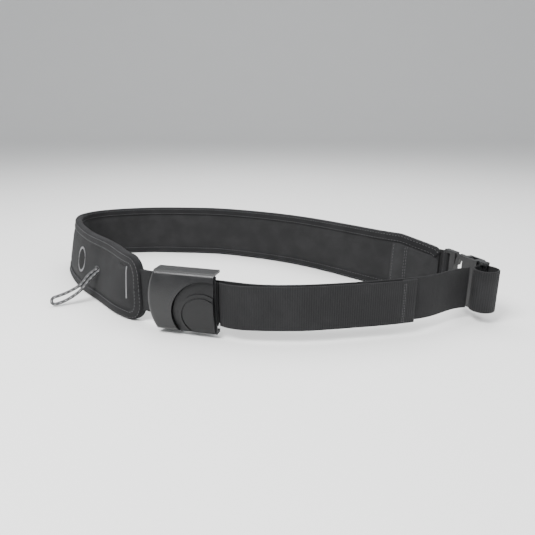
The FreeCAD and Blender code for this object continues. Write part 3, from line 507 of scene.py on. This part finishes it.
def stitch_form():
    """One stitch: a short bead of thread along X, one unit long and thick."""
    bpy.ops.object.select_all(action="DESELECT")
    bpy.ops.mesh.primitive_uv_sphere_add(segments=6, ring_count=4, radius=1.0)
    bead = bpy.context.active_object
    bpy.ops.object.mode_set(mode="EDIT")
    bpy.ops.mesh.select_all(action="SELECT")
    bpy.ops.transform.rotate(value=math.pi / 2, orient_axis="Y", center_override=(0.0, 0.0, 0.0))
    bpy.ops.object.mode_set(mode="OBJECT")
    points = np.array([vertex.co for vertex in bead.data.vertices])
    points[:, 0] = np.sign(points[:, 0]) * np.abs(points[:, 0]) ** 0.6
    faces = [tuple(face.vertices) for face in bead.data.polygons]
    bpy.data.objects.remove(bead)
    return points, faces


def stitched(name, places, material, radius=None):
    """Many stitches in one mesh, each given by its middle, its half length and the way out."""
    form, form_faces = stitch_form()
    radius = radius or sizes().stitch_radius
    points, faces = [], []
    for middle, half, out in places:
        middle, half, out = (np.asarray(v, dtype=float) for v in (middle, half, out))
        side = np.cross(half, out)
        side /= np.linalg.norm(side)
        up = out / np.linalg.norm(out)
        start = len(points)
        for x, y, z in form:
            points.append(middle + half * x + side * (radius * y) + up * (radius * z))
        faces += [tuple(start + index for index in face) for face in form_faces]
    return mesh_object(name, points, faces, material)


# --- the pad as a surface ---------------------------------------------------------------------


class PadShape:
    """The pad's two faces, by distance from the left tip and height."""

    def __init__(self):
        self.low, self.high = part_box("binding_bottom")[0].z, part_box("binding_top")[1].z
        self.faces = {}
        for face, node, pick in (("out", "pad_outer_fabric", 0), ("in", "pad_lining", 1)):
            levels = []
            for height in (PAD_LOW_SLICE, PAD_HIGH_SLICE):
                chain = sides(node, height)[pick]
                if chain[0][1] > chain[-1][1] or chain[0][0] > chain[-1][0]:
                    chain = chain[::-1]
                even = spaced(chain, 1.5 * MM, 6.0 * MM)
                share = np.linspace(0.0, 1.0, 401)
                levels.append(
                    np.stack([np.interp(share, np.linspace(0, 1, len(even)), even[:, a]) for a in (0, 1)], axis=1)
                )
            self.faces[face] = levels
        self.length = path_length(self.faces["out"][1])

    def drop(self, along):
        """How far both edges come in at a distance from the left tip."""
        s = sizes()
        radius = s.tip_radius
        if along < radius:
            inside = max(0.0, radius**2 - (radius - along) ** 2)
            return radius - math.sqrt(inside)
        left = self.length - along
        if left < s.tip_chamfer:
            return s.taper_drop + s.tip_chamfer - left
        if left < s.taper_length:
            return s.taper_drop * (s.taper_length - left) / (s.taper_length - s.tip_chamfer)
        return 0.0

    def edges(self, along):
        drop = self.drop(along)
        return self.low + drop, self.high - drop

    def plan(self, face, along, z):
        share = along / self.length * 400
        low, high = self.faces[face]
        lift = (z - PAD_LOW_SLICE) / (PAD_HIGH_SLICE - PAD_LOW_SLICE)
        spots = []
        for level in (low, high):
            spots.append([np.interp(share, np.arange(401), level[:, axis]) for axis in (0, 1)])
        return np.array(spots[0]) * (1 - lift) + np.array(spots[1]) * lift

    def at(self, face, along, z, lift=0.0):
        """A point on a face, lifted off it, with the way out and the way along."""
        step = 1.5 * MM
        middle = self.plan(face, along, z)
        ahead, behind = self.plan(face, along + step, z), self.plan(face, along - step, z)
        if along < step:
            behind, ahead = self.plan(face, 0.0, z), self.plan(face, 2 * step, z)
        if along > self.length - step:
            behind, ahead = self.plan(face, self.length - 2 * step, z), self.plan(face, self.length, z)
        way = (ahead - behind) / np.linalg.norm(ahead - behind)
        out = np.array([-way[1], way[0]])
        if face == "in":
            out = -out
        above = self.plan(face, along, z + MM) - middle
        lean = float(np.dot(above, out)) / MM
        normal = np.array([out[0], out[1], -lean])
        normal /= np.linalg.norm(normal)
        over = min(along, 0.0) + max(along - self.length, 0.0)
        point = np.array([*(middle + way * over), z]) + normal * (lift + self.crown(along, z))
        return point, normal, np.array([*way, 0.0])

    def crown(self, along, z):
        """How far the padding swells a face, none under the tapes."""
        low, high = self.edges(min(max(along, 0.0), self.length))
        tape = sizes().tape_width
        depth = min(z - low, high - z, along, self.length - along) - tape
        if depth <= 0:
            return 0.0
        share = min(1.0, depth / (8.0 * MM))
        puckers = 0.05 * MM * math.sin(along * 420.0) * (1.0 - share)
        return sizes().pad_crown * share * share * (3 - 2 * share) + puckers

    def along_of(self, point):
        """The distance from the left tip of the outer face's nearest place."""
        level = self.faces["out"][0] * 0.5 + self.faces["out"][1] * 0.5
        gaps = np.linalg.norm(level - np.array([point[0], point[1]]), axis=1)
        return float(np.argmin(gaps)) / 400 * self.length


def centre(node):
    low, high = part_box(node)
    return (low + high) / 2


def rim_path(pad, upper):
    """The pad's rim from the right tip, along one edge and round the left tip to its mid height."""
    middle = (pad.low + pad.high) / 2
    path = []
    alongs = np.linspace(pad.length, 0.0, 330)
    for along in alongs:
        low, high = pad.edges(along)
        path.append((along, high if upper else low))
    path[-1] = (0.0, path[-1][1])
    stop = path[-1][1]
    path += [(0.0, z) for z in np.linspace(stop, middle, 16)[1:]]
    return spaced(np.array(path), 1.6 * MM, 1.5 * MM)


# --- operators ---------------------------------------------------------------------------------

PAD = []


def pad():
    if not PAD:
        PAD.append(PadShape())
    return PAD[0]


class BELT_OT_camera(Operator):
    """Set the camera at eye height in front of the belt"""

    bl_idname = "belt.camera"
    bl_label = "Camera"

    def execute(self, context):
        lens = bpy.data.cameras.new("studio_camera")
        lens.lens = 33.645
        lens.sensor_width = 36.0
        lens.clip_start = 0.01
        camera = bpy.data.objects.new("studio_camera", lens)
        camera.location = (0.02116, -0.50822, 0.1808)
        camera.rotation_euler = (math.radians(90 - 17.5), 0.0, 0.0)
        context.collection.objects.link(camera)
        context.scene.camera = camera
        return {"FINISHED"}


class BELT_OT_cord(Operator):
    """Lay the short cord loop that comes out of the pad's left side"""

    bl_idname = "belt.cord"
    bl_label = "Cord loop"

    ROUTE = (
        (-147.643, -33.416, 30.4),
        (-155.443, -40.216, 26.4),
        (-160.443, -46.016, 17.8),
        (-171.243, -51.816, 12.4),
        (-180.443, -56.616, 9.6),
        (-186.043, -59.216, 8.6),
        (-186.643, -59.816, 2.3),
        (-180.843, -58.016, 2.2),
        (-169.843, -53.816, 6.4),
        (-158.643, -49.616, 14.6),
        (-152.643, -43.216, 23.6),
        (-144.443, -37.216, 29.8),
    )

    def execute(self, context):
        curve = bpy.data.curves.new("cord_route", "CURVE")
        curve.dimensions = "3D"
        curve.resolution_u = 24
        spline = curve.splines.new("NURBS")
        spline.points.add(len(self.ROUTE) - 1)
        for point, place in zip(spline.points, self.ROUTE):
            point.co = (*(Vector(place) * MM), 1.0)
        spline.order_u = 3
        spline.use_endpoint_u = True
        guide = bpy.data.objects.new("cord_route", curve)
        context.collection.objects.link(guide)
        line = bpy.data.meshes.new_from_object(guide)
        path = spaced(np.array([vertex.co for vertex in line.vertices]), 0.5 * MM)
        bpy.data.objects.remove(guide)
        bpy.data.meshes.remove(line)
        radius, around = sizes().cord_radius, sizes().cord_sides
        rings = []
        side = np.array([0.0, 0.0, 1.0])
        for number, point in enumerate(path):
            ahead, behind = path[min(number + 1, len(path) - 1)], path[max(number - 1, 0)]
            way = (ahead - behind) / np.linalg.norm(ahead - behind)
            side = side - way * np.dot(side, way)
            side /= np.linalg.norm(side)
            third = np.cross(way, side)
            ring = []
            for step in range(around):
                angle = TAU * step / around
                lay = math.sin(number * 0.5 / 5.2 * TAU + 4 * angle) * math.sin(number * 0.5 / 5.2 * TAU - 4 * angle)
                reach = radius * (0.965 + 0.035 * lay)
                ring.append(point + side * (reach * math.cos(angle)) + third * (reach * math.sin(angle)))
            rings.append(ring)
        made = sweep("cord_braid", rings, braided("cord_braid", colours().cord, radius))
        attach(made, "belt_pad")
        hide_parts("cord_loop")
        return {"FINISHED"}


class BELT_OT_pad(Operator):
    """Sew up the pad: outer fabric, foam and lining as one crowned form"""

    bl_idname = "belt.pad"
    bl_label = "Pad"

    def execute(self, context):
        shape = pad()
        inset = sizes().tape_thickness + 0.1 * MM
        rows = 27
        alongs = np.linspace(inset, shape.length - inset, 420)
        fabric = woven("pad_outer_weave", colours().fabric, 0.9 * MM, 0.00012)
        lining = woven("pad_lining_knit", colours().lining, 0.7 * MM, 0.00009, 1.7)
        rings = []
        for along in alongs:
            low, high = shape.edges(along)
            low, high = low + inset, high - inset
            ring = []
            for face, first, last in (("out", low, high), ("in", high, low)):
                for z in np.linspace(first, last, rows):
                    edge = min(z - low, high - z)
                    pull = -1.6 * MM * max(0.0, 1 - edge / (1.6 * MM)) ** 2
                    ring.append(shape.at(face, along, z, pull)[0])
            rings.append(ring)
        made = sweep("pad_form", rings, fabric)
        made.data.materials.append(lining)
        around = 2 * rows
        for number, face in enumerate(made.data.polygons):
            if number < (len(rings) - 1) * around and number % around >= rows:
                face.material_index = 1
        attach(made, "belt_pad")
        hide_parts("pad_foam", "pad_outer_fabric", "pad_lining")
        return {"FINISHED"}


class BELT_OT_bindings(Operator):
    """Fold the hem tapes over the pad's rim and run their double stitching"""

    bl_idname = "belt.bindings"
    bl_label = "Hem tapes"

    def execute(self, context):
        s = sizes()
        shape = pad()
        tape = woven("hem_tape", colours().tape, 0.8 * MM, 0.00014, 2.2)
        thread = twisted("hem_thread", colours().thread)
        thick, width = s.tape_thickness, s.tape_width
        for name, node, upper in (("hem_tape_top", "binding_top", True), ("hem_tape_bottom", "binding_bottom", False)):
            path = rim_path(shape, upper)
            inward = left_normals(path) * (1 if upper else -1)
            rings = []
            for place, way in zip(path, inward):
                def spot(face, depth, lift, place=place, way=way):
                    along, z = place + way * depth
                    return shape.at(face, along, z, lift - shape.crown(along, z))[0]

                depths = (width, width - 0.3 * MM, width * 0.75, width * 0.5, width * 0.25, 1.4 * MM, 0.5 * MM)
                lifts = (0.25 * thick, 0.9 * thick, thick, thick * 1.05, thick, 0.85 * thick, 0.1 * thick)
                outer = [spot("out", d, l) for d, l in zip(depths, lifts)]
                inner = [spot("in", d, l) for d, l in zip(depths, lifts)]
                rim = [spot("out", 0.0, -1.2 * MM), spot("in", 0.0, -1.2 * MM)]
                hidden = [spot("in", width, -0.25 * thick), spot("in", 1.5 * MM, -0.3 * thick)]
                hidden += [spot("out", 1.5 * MM, -0.3 * thick), spot("out", width, -0.25 * thick)]
                rings.append(outer + rim + inner[::-1] + hidden)
            made = sweep(name, rings, tape)
            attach(made, "belt_pad")
            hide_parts(node)
            places = []
            for depth in (1.9 * MM, 7.2 * MM):
                for face in ("out", "in"):
                    row = spaced(path + inward * depth, s.stitch_pitch / 2)
                    for number in range(1, len(row) - 1, 2):
                        a = shape.at(face, *row[number], thick - shape.crown(*row[number]))
                        b = shape.at(face, *row[number + 1], thick - shape.crown(*row[number + 1]))
                        places.append(((a[0] + b[0]) / 2, (b[0] - a[0]) * 0.62, a[1]))
            seam = stitched(name + "_stitches", places, thread)
            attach(seam, "belt_pad")
        return {"FINISHED"}


class BELT_OT_sewn_details(Operator):
    """Embroider the eyelet and the cord's hole, and sew the bar tack and the tip's panel"""

    bl_idname = "belt.sewn_details"
    bl_label = "Sewn details"

    def oval(self, node, half_along, half_up, reach, pitch, jitter):
        """Satin stitches round an oval on the outer face."""
        shape = pad()
        middle = centre(node)
        along, z = shape.along_of(middle), middle.z
        draw = random.Random(7)
        count = int(math.pi * (half_along + half_up) / pitch)
        places = []
        for number in range(count):
            angle = TAU * number / count
            inner = np.array([(half_along - reach) * math.cos(angle), (half_up - reach) * math.sin(angle)])
            outer = np.array([half_along * math.cos(angle), half_up * math.sin(angle)])
            slip = draw.uniform(-jitter, jitter)
            a = shape.at("out", along + inner[0] + slip, z + inner[1], 0.25 * MM)
            b = shape.at("out", along + outer[0], z + outer[1] + slip, 0.25 * MM)
            places.append(((a[0] + b[0]) / 2, (b[0] - a[0]) * 0.55, a[1]))
        return places

    def patch(self, name, node, half_along, half_up, material):
        """A sheet inside an oval, whose dark material is painted shade of the eyelet's hollow."""
        shape = pad()
        middle = centre(node)
        along, z = shape.along_of(middle), middle.z
        rings = []
        for share, lift in ((0.02, 0.06), (0.5, 0.08), (0.9, 0.14), (1.0, 0.02), (1.0, -0.3), (0.02, -0.3)):
            ring = []
            for step in range(36):
                angle = TAU * step / 36
                spot = along + half_along * share * math.cos(angle), z + half_up * share * math.sin(angle)
                ring.append(shape.at("out", *spot, lift * MM)[0])
            rings.append(ring)
        return sweep(name, rings, material)

    def execute(self, context):
        shape = pad()
        s = sizes()
        pale = twisted("embroidery_thread", colours().pale_thread)
        dark = twisted("tack_thread", colours().thread)
        # Painted shade: the fabric darkened to about a third stands in for the shade inside the eyelet's hollow.
        eyelet_hole_shade = woven("eyelet_painted_shade", tint(colours().fabric, 0.35), 0.6 * MM, 0.00008)
        details = []
        places = self.oval("stitched_eyelet", 12.3 * MM, 13.3 * MM, 2.4 * MM, 1.5 * MM, 0.2 * MM)
        ring = stitched("eyelet_embroidery", places, pale, 0.3 * MM)
        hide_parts("stitched_eyelet")
        details.append(ring)
        details.append(self.patch("eyelet_painted_shade", "stitched_eyelet", 9.9 * MM, 10.9 * MM, eyelet_hole_shade))
        places = self.oval("cord_hole_stitching", 5.6 * MM, 3.2 * MM, 1.3 * MM, 0.7 * MM, 0.08 * MM)
        ring = stitched("cord_hole_embroidery", places, dark, 0.26 * MM)
        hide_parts("cord_hole_stitching")
        details.append(ring)
        middle = centre("bar_tack")
        low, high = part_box("bar_tack")
        along = shape.along_of(middle)
        places = []
        rows = np.arange(low.z, high.z, 0.75 * MM)
        for number, z in enumerate(rows):
            lean = 0.45 * MM if number % 2 else -0.45 * MM
            a = shape.at("out", along - 1.0 * MM, z - lean, 0.25 * MM)
            b = shape.at("out", along + 1.0 * MM, z + lean, 0.25 * MM)
            places.append(((a[0] + b[0]) / 2, (b[0] - a[0]) * 0.55, a[1]))
        tack = stitched("bar_tack_stitches", places, pale, 0.3 * MM)
        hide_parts("bar_tack")
        details.append(tack)
        for made in details:
            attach(made, "belt_pad")
        self.panel(shape, s, dark)
        return {"FINISHED"}

    def panel(self, shape, s, thread):
        """The reinforcement on the lining at the right tip, with its two seams."""
        start, stop = shape.length - 50.0 * MM, shape.length - 1.0 * MM
        lift = 0.8 * MM
        rings = []
        for along in np.linspace(start, stop, 50):
            low, high = shape.edges(along)
            low, high = low + s.tape_width + 0.4 * MM, high - s.tape_width - 0.4 * MM
            heights = np.linspace(low, high, 14)
            edge = min(1.0, (along - start) / (1.0 * MM) + 0.1)
            top = [shape.at("in", along, z, lift * edge * (0.4 if k in (0, 13) else 1.0))[0] for k, z in enumerate(heights)]
            under = [shape.at("in", along, z, -0.2 * MM)[0] for z in (high, low)]
            rings.append(top + under)
        cloth = woven("tip_panel_cloth", tint(colours().lining, 1.15), 1.1 * MM, 0.00016, 2.0)
        made = sweep("tip_panel_cloth", rings, cloth)
        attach(made, "belt_pad")
        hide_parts("tip_panel")
        places = []
        for inset in (1.8 * MM, 14.0 * MM, 16.0 * MM):
            along = start + inset
            low, high = shape.edges(along)
            row = np.arange(low + s.tape_width + 1.5 * MM, high - s.tape_width - 1.5 * MM, s.stitch_pitch)
            for z in row:
                a = shape.at("in", along, z, lift)
                b = shape.at("in", along, z + 2.0 * MM, lift)
                places.append(((a[0] + b[0]) / 2, (b[0] - a[0]) * 0.55, a[1]))
        seam = stitched("tip_panel_stitches", places, thread)
        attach(seam, "belt_pad")


class BELT_OT_webbing(Operator):
    """Weave the stubs, the front strap, its free tail and the closed end loop"""

    bl_idname = "belt.webbing"
    bl_label = "Webbing"

    def stub(self, name, node, bar, cloth):
        """A stub: down one face, round the bar and back up the other."""
        loop = outlines(node, MIDDLE)[0]
        corners = sorted(corners_of(loop), key=lambda n: -np.linalg.norm(loop[n] - np.array(bar)))[:2]
        first, second = corners
        chain = max((stretch(loop, first, second), stretch(loop, second, first)), key=path_length)
        made = ribbon(name, chain, self.low, self.high, cloth, 0.8)
        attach(made, "belt_pad")
        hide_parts(node)

    def execute(self, context):
        s = sizes()
        cloth = grosgrain("webbing", colours().webbing, s.rib_pitch)
        low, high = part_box("strap_tail")
        self.low, self.high = low.z, high.z
        ring = centre("keeper_ring")
        male = centre("male_frame")
        self.stub("stub_webbing_left", "stub_strap_left", (ring.x, ring.y), cloth)
        self.stub("stub_webbing_right", "stub_strap_right", (male.x, male.y), cloth)

        strap = ribbon("front_strap", sides("front_strap_webbing", MIDDLE)[0], self.low, self.high, cloth, 0.6)
        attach(strap, "front_strap")
        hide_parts("front_strap_webbing")

        chain = min(sides("strap_tail", MIDDLE)[:2], key=lambda side: side[:, 1].mean())
        if chain[0][0] > chain[-1][0]:
            chain = chain[::-1]
        outer = spaced(chain, 1.0 * MM, 4.0 * MM)
        inward = left_normals(outer)
        fold = 2 * s.webbing_thickness + 0.25 * MM
        radius = fold / 2
        way = outer[-1] - outer[-2]
        way /= np.linalg.norm(way)
        middle = outer[-1] + inward[-1] * radius
        bend = []
        for angle in np.linspace(-math.pi / 2, math.pi / 2, 9)[1:-1]:
            bend.append(middle + way * (radius * math.cos(angle)) + inward[-1] * (radius * math.sin(angle)))
        hem = 12
        back = outer[-hem:][::-1] + inward[-hem:][::-1] * fold
        tail = ribbon("free_tail", np.concatenate([outer, bend, back]), self.low, self.high, cloth, 1.0)
        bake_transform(tail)
        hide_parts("strap_tail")

        places = []
        thread = twisted("strap_thread", tint(colours().thread, 0.8))
        for inset in (9.4, 10.9):
            spot = outer[-int(inset) - 1]
            out = -inward[-int(inset) - 1]
            for z in np.arange(self.low + 2.2 * MM, self.high - 2.0 * MM, 2.3 * MM):
                point = (*(spot + out * 0.05 * MM + way * (int(inset) - inset) * MM), z)
                places.append((point, (0.0, 0.0, 0.95 * MM), (*out, 0.0)))
        hem_row = stitched("tail_hem_stitches", places, thread, 0.28 * MM)
        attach(hem_row, "strap_tail")
        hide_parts("tail_hem_stitching")

        ring = outlines("strap_loop", MIDDLE)[0]
        ring = np.concatenate([ring, ring[:1]])
        made = ribbon("end_loop", ring, self.low, self.high, cloth, 1.15, closed=True)
        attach(made, "buckle_female")
        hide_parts("strap_loop")
        return {"FINISHED"}


class BELT_OT_hardware(Operator):
    """Give the buckles, ring, bars and screws their finishes"""

    bl_idname = "belt.hardware"
    bl_label = "Hardware finishes"

    def execute(self, context):
        c = colours()
        cover = moulded("cover_plastic", c.plastic, 1500.0, 0.26, 0.42, 0.22)
        plate = coated("plate_finish", c.metal, 0.42)
        badge = moulded("badge_plastic", tint(c.plastic, 0.8), 2200.0, 0.34, 0.3, 0.15)
        buckle = moulded("buckle_plastic", c.plastic, 1900.0, 0.26, 0.45, 0.2)
        bars = coated("bar_finish", tint(c.metal, 1.3), 0.35)
        finishes = {
            "hook_cover": cover,
            "hook_plate": plate,
            "badge_disc": badge,
            "male_frame": buckle,
            "release_prong_upper": buckle,
            "release_prong_lower": buckle,
            "female_housing": buckle,
            "keeper_ring": plate,
            "adjuster_bar": bars,
            "lock_bar": bars,
            "cover_screws": bars,
        }
        for node, finish in finishes.items():
            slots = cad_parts[node].data.materials
            if len(slots) == 0:
                slots.append(finish)
            for number in range(len(slots)):
                slots[number] = finish
        return {"FINISHED"}


class BELT_OT_stage(Operator):
    """Set the floor and the soft studio light"""

    bl_idname = "belt.stage"
    bl_label = "Stage"

    def execute(self, context):
        profile = [(-4.0, 0.0), (2.6, 0.0)]
        for angle in np.linspace(0.0, math.pi / 2, 13)[1:]:
            profile.append((2.6 + 1.4 * math.sin(angle), 1.4 - 1.4 * math.cos(angle)))
        profile.append((4.0, 5.0))
        points = [(x, y, z - 0.4 * MM) for y, z in profile for x in (-6.0, 6.0)]
        faces = [(2 * k, 2 * k + 1, 2 * k + 3, 2 * k + 2) for k in range(len(profile) - 1)]
        floor = mesh_object("studio_floor", points, faces, floor_finish(colours().floor))
        for name, place, aim, size, power in (
            ("key_light", (-0.45, -0.6, 0.95), (0.0, -0.05, 0.03), 0.45, 24.0),
            ("fill_light", (0.9, -0.5, 0.6), (0.0, 0.0, 0.03), 0.9, 9.0),
            ("top_light", (0.0, 0.35, 1.1), (0.0, 0.0, 0.03), 1.0, 14.0),
        ):
            light = bpy.data.lights.new(name, "AREA")
            light.size = size
            light.shape = "SQUARE"
            light.energy = power
            lamp = bpy.data.objects.new(name, light)
            lamp.location = place
            lamp.rotation_euler = (Vector(aim) - Vector(place)).to_track_quat("-Z", "Y").to_euler()
            context.collection.objects.link(lamp)
        world = bpy.data.worlds.new("studio_air")
        world.use_nodes = True
        world.node_tree.nodes["Background"].inputs[0].default_value = (0.92, 0.94, 0.97, 1.0)
        world.node_tree.nodes["Background"].inputs[1].default_value = 0.75
        context.scene.world = world
        return {"FINISHED"}


class BELT_PT_panel(Panel):
    bl_label = "Padded waist belt"
    bl_space_type = "VIEW_3D"
    bl_region_type = "UI"
    bl_category = "Belt"

    def draw(self, context):
        for operator in OPERATORS:
            self.layout.operator(operator.bl_idname)
        for group in (context.scene.belt_sizes, context.scene.belt_colours):
            for name in group.__annotations__:
                self.layout.prop(group, name)


OPERATORS = (
    BELT_OT_camera,
    BELT_OT_cord,
    BELT_OT_pad,
    BELT_OT_bindings,
    BELT_OT_sewn_details,
    BELT_OT_webbing,
    BELT_OT_hardware,
    BELT_OT_stage,
)
CLASSES = (BeltSizes, BeltColours, *OPERATORS, BELT_PT_panel)


def register():
    for cls in CLASSES:
        bpy.utils.register_class(cls)
    bpy.types.Scene.belt_sizes = PointerProperty(type=BeltSizes)
    bpy.types.Scene.belt_colours = PointerProperty(type=BeltColours)


def unregister():
    del bpy.types.Scene.belt_sizes
    del bpy.types.Scene.belt_colours
    for cls in reversed(CLASSES):
        bpy.utils.unregister_class(cls)


def main():
    register()
    for operator in OPERATORS:
        group, name = operator.bl_idname.split(".")
        getattr(getattr(bpy.ops, group), name)()


if __name__ == "__main__":
    main()
